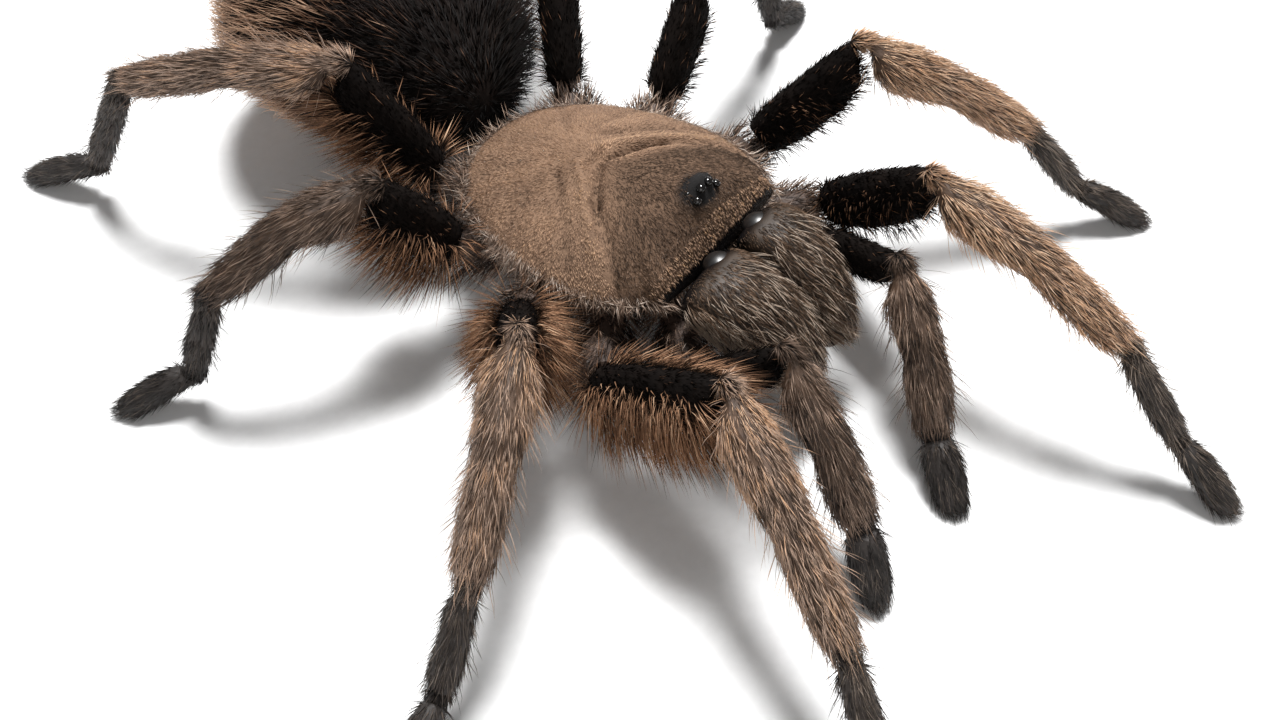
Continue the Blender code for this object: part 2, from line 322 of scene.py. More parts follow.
# %% Limb and body shell
def shell_finish(name, dark, light, roughness=0.5, pore=0.03, shine=0.4):
    shell = Finish(name, Specular_IOR_Level=shine)
    where = shell.place()
    mottle = shell.noise(where, 420.0, 5.0)
    pores = shell.noise(where, 3200.0, 2.0)
    shell.shade("Base Color", shell.ramp(mottle, [(0.35, srgb(*dark)), (0.7, srgb(*light))]))
    shell.shade("Roughness", roughness + pores * 0.25)
    shell.shade("Normal", shell.bump(pores, pore * MM))
    return shell


SHELLS = {
    "coxa": shell_finish("coxa_shell", (60, 48, 42), (96, 78, 68)),
    "femur": shell_finish("femur_shell", (9, 6, 5), (20, 14, 11), 0.7, 0.03, 0.1),
    "patella_tibia": shell_finish("patella_shell", (58, 44, 34), (92, 70, 54)),
    "metatarsus": shell_finish("metatarsus_shell", (40, 33, 29), (62, 52, 45)),
    "tarsus": shell_finish("tarsus_shell", (34, 30, 28), (54, 48, 45)),
    "sternum": shell_finish("sternum_shell", (28, 21, 18), (48, 36, 30)),
    "pedicel": shell_finish("pedicel_shell", (50, 40, 35), (78, 64, 56)),
    "abdomen": shell_finish("abdomen_skin", (12, 8, 6), (26, 17, 13), 0.7, 0.03, 0.15),
    "spinneret": shell_finish("spinneret_shell", (48, 36, 29), (80, 60, 48)),
    "fang": shell_finish("fang_horn", (14, 9, 8), (34, 16, 12), 0.15, 0.005),
}
for node in nodes:
    if kind_of(node) in SHELLS:
        dress(node, SHELLS[kind_of(node)])
print("shell finishes", len(SHELLS))

# %% [markdown]
# ## Where the head parts are
# The eyes, the pit and the grooves are told by their places on the head, so shape and finishes need the
# head's own plane: where it stands, how far it is turned, and its two small tilts.

# %% Head plane
HEAD_PLACE = Vector((1.453, 2.254, 11.3))  # mm
HEAD_TURN = math.radians(7.0)
HEAD_TILT = math.radians(-2.6)
HEAD_ROLL = math.radians(-1.0)
HEAD_MATRIX = Matrix.Rotation(HEAD_TURN, 3, "Z") @ Matrix.Rotation(HEAD_TILT, 3, "X")
HEAD_MATRIX = HEAD_MATRIX @ Matrix.Rotation(HEAD_ROLL, 3, "Y")
HEAD_AXES = np.array(HEAD_MATRIX).T


def on_head(x, y, z):
    """Places given in the head's own millimetres, in the scene."""
    return np.stack(np.broadcast_arrays(x, y, z), -1) @ HEAD_AXES * MM + np.array(HEAD_PLACE) * MM


def in_head(points):
    """Points of the scene, in the head's own millimetres."""
    return (points / MM - np.array(HEAD_PLACE)) @ HEAD_AXES.T


print("head stands at", [round(c / MM, 2) for c in on_head(0, 0, 0)])

# %% [markdown]
# ## The shield itself
# The solid of the shield is plain, so a finer one replaces it. It has the solid's outline and dome, plus
# what the velvet follows on the real animal: a pit, a groove each side that parts the raised head from
# the chest, folds that run out like spokes, and a black eye hill. It is a net of rings round the pit,
# from the middle to the rim.

# %% Shape of the shield, in millimetres in the head's plane
HALF_LENGTH = 12.2
HALF_WIDTH = 10.9
FRONT_HALF_WIDTH = 7.6
FRONT_BULGE = 0.5
WIDEST_Y = -3.8
NET_CENTRE_Y = -0.6
OUT_OF_REACH = 20.0
HALVINGS = 28
EYE_HILL = (0.3, -10.1)
HEAD_RISE = 2.2
HILL_RISE = 1.45
PIT_DEPTH = 0.8
SPOKES = (
    (0.5, -0.4, 4.4, -3.1, -0.8, 0.5), (4.4, -3.1, 10.4, -10.4, -0.8, 0.6), (1.4, 1.0, 8.2, -5.6, 0.4, 0.5),
    (3.2, 2.0, 9.8, -4.2, -0.5, 0.5), (2.6, 3.4, 10.0, 2.4, -0.35, 0.6), (1.4, 4.2, 5.6, 8.8, -0.35, 0.6),
)  # x and y of both ends, rise, width


def bell(value, middle, width):
    """1 where value is at the middle, falling smoothly to 0 over width."""
    return np.exp(-(((value - middle) / width) ** 2))


def hump(x, y, cx, cy, rx, ry):
    return bell(x, cx, rx) * bell(y, cy, ry)


def front_edge(x):
    return -HALF_LENGTH - FRONT_BULGE * (1 - (x / FRONT_HALF_WIDTH) ** 2)


def shield_holds(x, y):
    """Whether a place is inside the outline of the shield."""
    a, c, m = HALF_LENGTH, FRONT_HALF_WIDTH, WIDEST_Y
    ahead = np.sin(np.pi / 2 * np.clip((y + a) / (m + a), 0, 1)) ** 0.75
    half = c + (HALF_WIDTH - c) * ahead - 0.45 * bell(y, -10.9, 0.5)
    behind = HALF_WIDTH * np.clip(1 - ((y - m) / (a - m)) ** 2, 0, 1) ** 0.45
    return (np.abs(x) < np.where(y < m, half, behind)) & (y > front_edge(x))


def shield_rim(angles):
    """How far the outline is from the net's centre in each direction, by halving."""
    inside, outside = np.zeros(len(angles)), np.full(len(angles), OUT_OF_REACH)
    for _ in range(HALVINGS):
        middle = (inside + outside) / 2
        held = shield_holds(middle * np.cos(angles), NET_CENTRE_Y + middle * np.sin(angles))
        inside = np.where(held, middle, inside)
        outside = np.where(held, outside, middle)
    return inside


def spoke_distance(x, y, spoke):
    x1, y1, x2, y2 = spoke[:4]
    along = ((np.abs(x) - x1) * (x2 - x1) + (y - y1) * (y2 - y1)) / ((x2 - x1) ** 2 + (y2 - y1) ** 2)
    along = np.clip(along, 0, 1)
    return np.hypot(np.abs(x) - x1 - along * (x2 - x1), y - y1 - along * (y2 - y1))


def shield_rise(x, y, share):
    """Height over the rim: dome, head, eye hill, pit and spokes."""
    turn = np.degrees(np.arctan2(y - NET_CENTRE_Y, np.abs(x)))
    steep = 2.6 + 6.0 * bell(turn, -90, 40)
    rise = 3.3 * np.maximum(0, 1 - share**steep) ** 0.75
    rise += HEAD_RISE * hump(x, y, 0, -8.2, 5.8, 5.6) * np.maximum(0, 1 - share**9)
    rise += HILL_RISE * hump(x, y, *EYE_HILL, 1.75, 1.2) - PIT_DEPTH * hump(x, y, 0, 0.5, 1.5, 0.5)
    for spoke in SPOKES:
        rise += spoke[4] * bell(spoke_distance(x, y, spoke), 0, spoke[5]) * np.minimum(1, 1.2 - share)
    return rise


print("outline to the front, side and rear", shield_rim(np.radians([-90, 0, 90])).round(2), "mm")

# %% [markdown]
# ## Skins from rings
# The shield, the jaws, the eyes and the joint balls are all closed skins: rings of points, with a fan at
# both ends. Every new mesh becomes a piece in the same way.

# %% Rings to mesh
def ring_faces(count, rings, base=0):
    """Faces of a closed skin: a point, rings of count points each, and a point again."""
    last = base + 1 + rings * count
    around = [(k, (k + 1) % count) for k in range(count)]
    faces = [(base, base + 1 + n, base + 1 + k) for k, n in around]
    for s in range(base + 1, last - count, count):
        faces += [(s + k, s + n, s + count + n, s + count + k) for k, n in around]
    return faces + [(last, last - count + k, last - count + n) for k, n in around]


def piece(mesh, finish, replaced=None):
    """Shows a mesh as a piece that rides on the specimen's one body."""
    mesh.shade_smooth()
    mesh.materials.append(finish.material)
    thing = bpy.data.objects.new(mesh.name, mesh)
    bpy.context.scene.collection.objects.link(thing)
    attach(thing, "root")
    if replaced:
        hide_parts(replaced)
    return thing


def ringed(name, rows, finish, replaced=None):
    """A piece whose skin goes through rows of points, each an array."""
    points = np.concatenate([rows[0].mean(0)[None], *rows, rows[-1].mean(0)[None]])
    mesh = bpy.data.meshes.new(name)
    mesh.from_pydata(points.tolist(), [], ring_faces(len(rows[0]), len(rows)))
    return piece(mesh, finish, replaced)


print("a skin of 3 rings of 4 has", len(ring_faces(4, 3)), "faces")

# %% [markdown]
# ## Finishes of the shield and the jaws
# Both finishes change over the head: darker in front, black round the eyes and along the front edge. So
# they need the head's own coordinates, and two helpers that make a soft spot and a soft step of them.

# %% Head coordinates in a finish
def head_coordinates(finish):
    """The point being shaded, in millimetres in the head's plane."""
    shifted = finish.vector("SUBTRACT", finish.place(), tuple(HEAD_PLACE * MM))
    turned = finish.add(
        "ShaderNodeVectorRotate", {"rotation_type": "EULER_XYZ", "invert": True},
        {"Vector": shifted, "Rotation": (HEAD_TILT, HEAD_ROLL, HEAD_TURN)},
    )
    return finish.add("ShaderNodeVectorMath", {"operation": "SCALE"}, {0: turned, "Scale": 1 / MM})


def near(finish, where, centre, sizes):
    """1 at a spot, falling to 0 at an oval round it."""
    away = finish.vector("DIVIDE", finish.vector("SUBTRACT", where, centre), sizes)
    return finish.clamp(1.0 - finish.add("ShaderNodeVectorMath", {"operation": "LENGTH"}, {0: away}, 1))


def between(finish, value, low, high):
    """0 below low, 1 above high, and a ramp between them."""
    return finish.add("ShaderNodeMapRange", {}, {0: value, 1: low, 2: high, 3: 0.0, 4: 1.0})


BLACK = (0.006, 0.005, 0.005, 1.0)
BAND_WIDTH = 0.42
BAND_BLUR = 0.08
print("black band", BAND_WIDTH, "mm wide, its edge", 2 * BAND_BLUR, "mm soft")

# %% [markdown]
# ### Shield finish
# The velvet is so short that the skin shows between its hairs, so the skin has the same tan in soft
# clouds, with dark specks and a darker head. The eye hill is black, and along the front edge runs a bare
# black band, polished.

# %% Shield finish
def shield_finish():
    velvet = Finish("carapace_skin", Specular_IOR_Level=0.35)
    where = head_coordinates(velvet)
    cloud = velvet.noise(where, 0.35, 4.0)
    grain = velvet.noise(where, 6.0, 4.0, 0.7)
    tan = velvet.ramp(cloud, [(0.3, srgb(108, 84, 66)), (0.7, srgb(138, 110, 88))])
    speck = velvet.ramp(grain, [(0.36, (0.55, 0.52, 0.5)), (0.5, (1.0, 1.0, 1.0))])
    tan = velvet.blend(1.0, tan, speck, "MULTIPLY")
    across, along = velvet.part(where, 0), velvet.part(where, 1)
    off_middle = velvet.add("ShaderNodeMath", {"operation": "ABSOLUTE"}, {0: across})
    head = between(velvet, along + off_middle * 0.8, -0.5, -2.5)
    tan = velvet.blend(head, tan, velvet.blend(1.0, tan, (0.62, 0.6, 0.58, 1.0), "MULTIPLY"))
    hill = near(velvet, where, (*EYE_HILL, 5.8), (2.9, 2.0, 2.6))
    tan = velvet.blend(velvet.clamp(hill * 3.0), tan, BLACK)
    bend = across * across * (FRONT_BULGE / FRONT_HALF_WIDTH**2)
    past_edge = along + FRONT_BULGE + HALF_LENGTH - bend
    band = between(velvet, past_edge, BAND_WIDTH + BAND_BLUR, BAND_WIDTH - BAND_BLUR)
    velvet.shade("Base Color", velvet.blend(band, tan, BLACK))
    velvet.shade("Roughness", 0.85 - band * 0.65)
    velvet.shade("Normal", velvet.bump(grain + cloud, 0.08 * MM))
    return velvet


shield_skin = shield_finish()
print("finish", shield_skin.material.name, "has", len(shield_skin.tree.nodes), "nodes")

# %% [markdown]
# ### Jaw finish
# The jaws are brown under their hair, and black and bare at the base, where they slide under the shield.

# %% Jaw finish
def jaw_finish():
    skin = Finish("jaw_shell", Specular_IOR_Level=0.5)
    where = head_coordinates(skin)
    bare = between(skin, skin.part(where, 1), -14.9, -13.9)
    mottle = skin.noise(where, 0.9, 4.0)
    brown = skin.ramp(mottle, [(0.3, srgb(44, 35, 28)), (0.7, srgb(72, 58, 46))])
    skin.shade("Base Color", skin.blend(bare, brown, BLACK))
    skin.shade("Roughness", 0.6 - bare * 0.45)
    skin.shade("Normal", skin.bump(skin.noise(where, 9.0, 2.0), 0.02 * MM))
    return skin


jaw_skin = jaw_finish()
print("finish", jaw_skin.material.name, "has", len(jaw_skin.tree.nodes), "nodes")

# %% [markdown]
# ## Shield and side skin
# The net of the shield has a ray for each direction and a ring for each share of the way to the rim, then
# a few rings that close it below. Soft dark skin joins it to the hips.

# %% Make the shield and the side skin
NET_RAYS = 216
NET_RINGS = 60
NET_SHARES = (0.015, 0.992)
RIM_RINGS = ((1.0, 0.1), (0.985, -0.22), (0.9, 0.05), (0.6, 0.75), (0.2, 0.95))
SIDE_SKIN_RAYS = 72
SIDE_SKIN_RINGS = ((0.2, -4.4), (0.55, -4.4), (0.7, -3.6), (0.78, -2.2), (0.78, -0.6), (0.4, 0.2))


def net(rays):
    """A function that gives x and y of the net's ring at a share of the way to the rim."""
    angles = (np.arange(rays) + 0.5) / rays * 2 * np.pi - np.pi / 2
    reach = shield_rim(angles)
    return lambda share: (np.cos(angles) * (reach * share), np.sin(angles) * (reach * share) + NET_CENTRE_Y)


def shield():
    ring = net(NET_RAYS)
    shares = np.linspace(*NET_SHARES, NET_RINGS)
    rows = [on_head(*ring(share), shield_rise(*ring(share), share)) for share in shares]
    rows += [on_head(*ring(share), z) for share, z in RIM_RINGS]
    return ringed("carapace_shield", rows[::-1], shield_skin, "carapace")


def side_skin():
    ring = net(SIDE_SKIN_RAYS)
    rows = [on_head(*ring(share), z) for share, z in SIDE_SKIN_RINGS]
    return ringed("side_skin", rows, SHELLS["sternum"])


skins = dict(nodes)
skins["side_skin"] = side_skin()
skins["carapace_shield"] = shield()
print("shield", len(skins["carapace_shield"].data.polygons), "faces")

# %% [markdown]
# ## Jaws
# Each jaw is a stack of rings across its length, round outside and square inside, so that the two meet in
# a narrow seam. A subdivision rounds what is left of the corners.

# %% Make the jaws
JAW_STATIONS = (
    (-13.0, 3.5, -0.6, 3.0, 1.7, 1.4), (-13.6, 3.6, -0.3, 3.2, 2.3, 2.0), (-15.2, 3.65, -0.1, 3.25, 2.7, 2.7),
    (-17.2, 3.5, -0.8, 3.1, 3.1, 3.5), (-19.2, 3.25, -2.0, 2.8, 3.3, 3.5), (-21.0, 3.05, -3.4, 2.4, 3.0, 2.6),
    (-22.3, 2.8, -4.5, 1.8, 2.3, 1.7), (-23.0, 2.7, -5.2, 0.9, 1.2, 0.8),
)  # y, x, z, half width, height up and down, in millimetres in the head's plane
JAW_SKEW = 0.6
JAW_SIDES = 28


def rounded(wave, power):
    """A sine or cosine made squarer, the more so the smaller the power."""
    return np.sign(wave) * np.abs(wave) ** power


def jaw(name, side, replaced):
    angles = (np.arange(JAW_SIDES) + 0.5) / JAW_SIDES * 2 * np.pi
    inner = np.cos(angles) < 0
    wave = rounded(np.cos(angles), 0.8)
    lift = rounded(np.sin(angles), np.where(inner, 0.4, 0.8))
    rows = []
    for y, x, z, half, up, down in JAW_STATIONS:
        across = side * (x + wave * np.where(inner, half, half - side * JAW_SKEW))
        rows.append(on_head(across, y, z + lift * np.where(lift > 0, up, down)))
    thing = ringed(name, rows[::side], jaw_skin, replaced)
    smooth = thing.modifiers.new("smooth", "SUBSURF")
    smooth.levels = smooth.render_levels = 2
    return thing


skins["jaw_left"] = jaw("jaw_left", 1, "chelicera_left")
skins["jaw_right"] = jaw("jaw_right", -1, "chelicera_right")
print("jaws", len(skins["jaw_left"].data.polygons), "faces each before smoothing")

# %% [markdown]
# ## Eyes and polished knobs
# Eight small beads sit close together on the black hill near the front of the shield. Each jaw has a bare
# polished knob where it hinges under the shield's edge. All are lenses that face away from the skin below
# them.

# %% Beads
EYES = (
    (-0.5, -0.35, 0.42), (0.5, -0.35, 0.42), (-1.3, -0.55, 0.38), (1.3, -0.55, 0.38),
    (-1.35, 0.4, 0.32), (1.35, 0.4, 0.32), (-0.8, 0.4, 0.25), (0.8, 0.4, 0.25),
)  # x and y from the top of the hill, size
EYE_FLATNESS = 0.8
KNOBS = {"right": (-2.65, -13.8, 1.2, 1.3), "left": (2.8, -13.9, 1.2, 1.3)}
KNOB_FLATNESS = 0.75
BEAD_SIDES = 20
BEAD_RINGS = 11
BEAD_OPENING = 0.12


def bead(name, centre, out, size, flatness, finish):
    """A lens at centre that faces out."""
    turn = np.array(out.to_track_quat("Z", "Y").to_matrix())
    around = np.arange(BEAD_SIDES) / BEAD_SIDES * 2 * np.pi
    rows = []
    for a in np.linspace(np.pi - BEAD_OPENING, BEAD_OPENING, BEAD_RINGS):
        high = np.full(BEAD_SIDES, np.cos(a) * flatness)
        ring = np.column_stack([np.cos(around) * np.sin(a), np.sin(around) * np.sin(a), high])
        rows.append(ring * size * MM @ turn.T + centre)
    ringed(name, rows, finish)


lens = Finish("eye_lens", Roughness=0.08, Specular_IOR_Level=0.6)
glint = lens.noise(lens.place(), 2500.0, 2.0)
lens.shade("Base Color", lens.ramp(glint, [(0.4, (0.003, 0.003, 0.003)), (0.8, (0.016, 0.013, 0.011))]))
for n, (step_x, step_y, size) in enumerate(EYES):
    x, y = EYE_HILL[0] + step_x, EYE_HILL[1] + step_y
    z = float(shield_rise(np.array([x]), np.array([y]), 0.8)[0])
    lean = Vector((step_x, step_y * 1.2, 1.6))
    bead(f"eye_{n + 1}", on_head(x, y, z), HEAD_MATRIX @ lean, size, EYE_FLATNESS, lens)
horn = Finish("jaw_knob", Specular_IOR_Level=0.8)
smear = horn.noise(horn.place(), 900.0, 3.0)
horn.shade("Base Color", horn.ramp(smear, [(0.3, (0.003, 0.003, 0.003)), (0.8, (0.014, 0.011, 0.01))]))
horn.shade("Roughness", 0.24 + smear * 0.25)
for label, (x, y, z, size) in KNOBS.items():
    bead(f"jaw_knob_{label}", on_head(x, y, z), HEAD_MATRIX @ Vector((0, 0.1, 1)), size, KNOB_FLATNESS, horn)
print("eyes", len(EYES), "knobs", len(KNOBS))

# %% [markdown]
# ## How a hair is made
# One hair is a spindle: a point at the root, one or two rings of three points, and a point at the tip. It
# leaves the skin at one angle and ends at a flatter one, so it bows. All hairs of an area share one mesh,
# filled in one go with arrays, because a loop over a hundred thousand hairs would be slow.
#
# Its colour comes from a picture coordinate: across is the hair's own tone, up is the way from root to
# tip.

# %% Hair mesh
RINGS = {0: (), 1: ((0.42, 1.0),), 2: ((0.28, 1.0), (0.66, 0.72))}  # share of the way and size of each ring
ROOM = np.array(solid_box) * 1.02
ROOM[0, 2] = 0.02 * MM
SHORTEST_CUT = 0.12
TONE_STEP = 0.012
TONE_ENDS = (0.02, 0.98)


def unit(v):
    return v / np.maximum(np.linalg.norm(v, axis=-1, keepdims=True), 1e-12)


def within_room(root, tip, length):
    """Lengths cut so that no hair leaves the room round the solids or goes into the floor."""
    step = tip - root
    safe = np.where(np.abs(step) < 1e-9, 1e-9, step)
    allowed = np.where(step > 0, (ROOM[1] - root) / safe, (ROOM[0] - root) / safe)
    return length * np.clip(allowed.min(1), SHORTEST_CUT, 1.0)


def spindle_faces(rings):
    """Faces of one hair: three round the root, the walls between rings, three round the tip."""
    if rings == 0:
        return [(0, 2, 1), (0, 1, 3), (1, 2, 3), (2, 0, 3)]
    faces = [(0, 1 + (k + 1) % 3, 1 + k) for k in range(3)]
    for low in range(1, 3 * rings - 2, 3):
        for k in range(3):
            n = (k + 1) % 3
            faces += [(low + k, low + n, low + 3 + n), (low + k, low + 3 + n, low + 3 + k)]
    high = 3 * rings - 2
    return faces + [(high + k, high + (k + 1) % 3, high + 3) for k in range(3)]


def spindle_columns(root, start, last, length, width, tone, rings):
    """Points, tones and shares of the way along for every point of the hairs."""
    side = unit(np.cross(start, np.array([0.31, 0.17, 0.93])))
    over = unit(np.cross(start, side))
    points, tones, shares = ([root], [tone], [np.zeros(len(root))]) if rings else ([], [], [])
    for share, size in RINGS[rings] or ((0.0, 1.0),):
        centre = root + length[:, None] * (share * start + 0.5 * share**2 * (last - start))
        for k in range(3):
            a = 2 * math.pi * k / 3
            points.append(centre + (side * math.cos(a) + over * math.sin(a)) * (0.5 * size * width[:, None]))
            tones.append(tone + (k - 1) * TONE_STEP)
            shares.append(np.full(len(root), share))
    points.append(root + length[:, None] * 0.5 * (start + last))
    return points, tones + [tone], shares + [np.ones(len(root))]


def hair_piece(name, root, start, last, length, width, tone, finish, rings=1):
    """Closed spindles from root along a bow that leaves along start and ends along last."""
    length = within_room(root, root + length[:, None] * 0.5 * (start + last), length)
    tone = np.clip(tone, *TONE_ENDS)
    points, tones, shares = spindle_columns(root, start, last, length, width, tone, rings)
    per, count = len(points), len(root)
    corners = (np.array(spindle_faces(rings)) + per * np.arange(count)[:, None, None]).reshape(-1)
    mesh = bpy.data.meshes.new(name)
    mesh.vertices.add(per * count)
    mesh.vertices.foreach_set("co", np.stack(points, 1).astype(np.float32).reshape(-1))
    mesh.loops.add(len(corners))
    mesh.loops.foreach_set("vertex_index", corners.astype(np.int32))
    mesh.polygons.add(len(corners) // 3)
    mesh.polygons.foreach_set("loop_start", np.arange(0, len(corners), 3, dtype=np.int32))
    mesh.update(calc_edges=True)
    chart = mesh.uv_layers.new(name="OFBake")
    uv = np.stack([np.stack(tones, 1).reshape(-1), np.stack(shares, 1).reshape(-1)], 1)[corners]
    chart.data.foreach_set("uv", np.clip(uv, 0.0, 1.0).astype(np.float32).reshape(-1))
    print(f"{name}: {count} hairs, {len(corners) // 3} triangles")
    return piece(mesh, finish)


print("triangles of a hair by its rings", {rings: len(spindle_faces(rings)) for rings in RINGS})

# %% [markdown]
# ## Where hairs grow
# Roots are scattered over the skin in proportion to its area. A smooth random field, the same at every
# run, bends neighbouring hairs together into locks and shades them alike, which is what stops fur from
# looking like grass.

# %% Scatter and fields
FIELD_WAVES = 7
LOCK_SIZE = 2.2 * MM
ANGLE_SCATTER = 7  # degrees, of the angles at which a hair leaves the skin and ends


def evaluated(name):
    """The dressed skin of a piece as it renders: points, corner numbers of its triangles, normals."""
    mesh = skins[name].evaluated_get(bpy.context.evaluated_depsgraph_get()).to_mesh()
    mesh.calc_loop_triangles()
    points = np.empty(len(mesh.vertices) * 3)
    mesh.vertices.foreach_get("co", points)
    normals = np.empty(len(mesh.vertices) * 3)
    mesh.vertex_normals.foreach_get("vector", normals)
    corners = np.empty(len(mesh.loop_triangles) * 3, np.int32)
    mesh.loop_triangles.foreach_get("vertices", corners)
    return points.reshape(-1, 3), corners.reshape(-1, 3), normals.reshape(-1, 3)


def scatter(names, per_mm2, seed):
    """Roots, normals and the number of the piece for each hair of these pieces."""
    dice = np.random.default_rng(seed)
    roots, normals, owner = [], [], []
    for n, name in enumerate(names):
        points, faces, facing = evaluated(name)
        a, b, c = (points[faces[:, k]] for k in range(3))
        area = np.linalg.norm(np.cross(b - a, c - a), axis=1) / 2 / MM**2
        count = int(area.sum() * per_mm2)
        face = dice.choice(len(faces), count, p=area / area.sum())
        u, v = dice.random(count), dice.random(count)
        flip = u + v > 1
        u[flip], v[flip] = 1 - u[flip], 1 - v[flip]
        w = np.stack([1 - u - v, u, v], 1)
        roots.append(np.einsum("nk,nkd->nd", w, points[faces[face]]))
        normals.append(unit(np.einsum("nk,nkd->nd", w, facing[faces[face]])))
        owner.append(np.full(count, n))
    return np.concatenate(roots), np.concatenate(normals), np.concatenate(owner)


def field(points, size, seed):
    """A smooth random value from -1 to 1 that changes over about size in metres."""
    dice = np.random.default_rng(seed)
    total = np.zeros(len(points))
    for _ in range(FIELD_WAVES):
        wave = dice.normal(size=3)
        wave *= 2 * math.pi / size * (0.6 + 0.8 * dice.random()) / np.linalg.norm(wave)
        total += np.sin(points @ wave + dice.random() * 2 * math.pi)
    return np.clip(total / 2.6, -1, 1)


def combed(root, normal, flow, lift, fall, spread, lock, seed, weight=0.0):
    """Start and end directions: along the flow, lifted off the skin, with spread and locks in degrees."""
    dice = np.random.default_rng(seed)
    count = len(root)
    flat = unit(flow - normal * (flow * normal).sum(1, keepdims=True))
    cross = np.cross(normal, flat)
    turn = np.radians(dice.normal(0, spread, count) + lock * field(root, LOCK_SIZE, seed + 1))
    flat = flat * np.cos(turn)[:, None] + cross * np.sin(turn)[:, None]
    rise = np.radians(np.clip(lift + dice.normal(0, ANGLE_SCATTER, count), 3, 85))[:, None]
    end = np.radians(np.clip(fall + dice.normal(0, ANGLE_SCATTER, count), -15, 80))[:, None]
    start = flat * np.cos(rise) + normal * np.sin(rise)
    last = flat * np.cos(end) + normal * np.sin(end) + np.array([0, 0, -weight])
    return unit(start), unit(last)


print("field at two places", field(np.array([[0, 0, 0], [MM, 0, 0]]), 3 * MM, 1).round(2))

# %% [markdown]
# ## Fur of one area
# Each area is made the same way: scatter the roots, thin them out, give each hair a tone, a length and a
# width, comb them and build the mesh. One class keeps these columns of numbers together, so that thinning
# cuts them all.

# %% Fur
class Fur:
    """Hairs on their way from roots to a mesh, with a row in each column for every hair."""

    def __init__(self, seed, dice=None, **columns):
        self.seed = seed
        self.dice = dice or np.random.default_rng(seed + 5)
        vars(self).update(columns)

    @property
    def up(self):
        """1 where the skin faces up, -1 where it faces down."""
        return self.normal[:, 2]

    def thin(self, held):
        for label, column in list(vars(self).items()):
            if isinstance(column, np.ndarray):
                setattr(self, label, column[held])

    def chance(self):
        return self.dice.random(len(self.root))

    def jitter(self):
        return self.dice.normal(size=len(self.root))

    def patches(self, size, step=2):
        return field(self.root, size * MM, self.seed + step)

    def cut(self, length, width, stretch=1.0, extra=0.0):
        """Draws lengths and widths, each between two sizes in millimetres."""
        self.length = (self.dice.uniform(*length, len(self.root)) * stretch + extra) * MM
        self.width = self.dice.uniform(*width, len(self.root)) * MM

    def grow(self, name, finish, slot, comb, rings=1, sink=0.0, weight=0.0):
        """Makes the piece; comb is lift, fall, spread and lock in degrees, sink is how deep the roots are."""
        start, last = combed(self.root, self.normal, self.flow, *comb, self.seed + 3, weight)
        root = self.root - self.normal * sink * MM
        hair_piece(name, root, start, last, self.length, self.width, self.tone, finish, rings)


def fur_on(names, per_mm2, seed):
    """Fur on whole pieces, which also knows its places on the head."""
    root, normal, _ = scatter(names, per_mm2, seed)
    return Fur(seed, root=root, normal=normal, local=in_head(root))


print("a trial on the shield", len(fur_on(["carapace_shield"], 1.0, 1).root), "hairs at 1 per mm2")

# %% [markdown]
# ## Hair finishes
# Each area has its own range of tones, read across the chart: a dark end, a middle and a light end. Roots
# are painted darker than tips, which gives depth between the hairs: partly the hairs' own darker roots,
# partly painted shade deep in the coat.

# %% Hair finish
def hair_finish(name, stops, painted_root_shade=0.4, roughness=0.5, shine=0.3):
    """Hair whose stops are a place on the chart and a colour as seen on a screen."""
    hair = Finish(name, Roughness=roughness, Specular_IOR_Level=shine)
    chart = hair.add("ShaderNodeUVMap", {"uv_map": "OFBake"})
    across, up = hair.part(chart, 0), hair.part(chart, 1)
    colour = hair.ramp(across, [(place, srgb(*colour)) for place, *colour in stops])
    # Painted shade: each hair darkens towards its root, partly its own darker root, partly shade deep in the
    # coat.
    light = hair.ramp(up, [(0.0, (painted_root_shade,) * 3), (0.6, (1.0, 1.0, 1.0)), (1.0, (1.2, 1.2, 1.2))])
    hair.shade("Base Color", hair.blend(1.0, colour, light, "MULTIPLY"))
    return hair


TAN_HAIR = hair_finish("tan_leg_hair", [
    (0.0, 34, 26, 21), (0.3, 110, 90, 76), (0.6, 192, 164, 144), (0.85, 216, 170, 132),
    (1.0, 232, 200, 170),
])
FEMUR_HAIR = hair_finish("femur_hair", [
    (0.0, 4, 3, 2), (0.35, 19, 13, 10), (0.6, 106, 78, 60), (0.8, 160, 120, 92),
    (1.0, 206, 172, 142),
], 0.4, 0.7, 0.04)
FOOT_HAIR = hair_finish("foot_hair", [
    (0.0, 18, 16, 15), (0.5, 62, 55, 51), (1.0, 150, 134, 120),
])
PALE_HAIR = hair_finish("pale_fringe_hair", [
    (0.0, 36, 27, 22), (0.4, 116, 92, 76), (0.7, 178, 154, 136), (1.0, 224, 208, 194),
])
VELVET_HAIR = hair_finish("carapace_velvet_hair", [
    (0.0, 66, 50, 38), (0.5, 174, 140, 115), (0.8, 200, 164, 133), (1.0, 210, 166, 124),
], 0.7, 0.6)
JAW_HAIR = hair_finish("jaw_hair", [
    (0.0, 20, 16, 13), (0.35, 84, 65, 50), (0.6, 134, 106, 84), (1.0, 206, 188, 170),
], 0.4)
ABDOMEN_HAIR = hair_finish("abdomen_hair", [
    (0.0, 8, 6, 5), (0.4, 38, 28, 23), (0.7, 124, 92, 72), (1.0, 206, 170, 142),
], 0.35, 0.6, 0.12)
print("hair finishes ready")
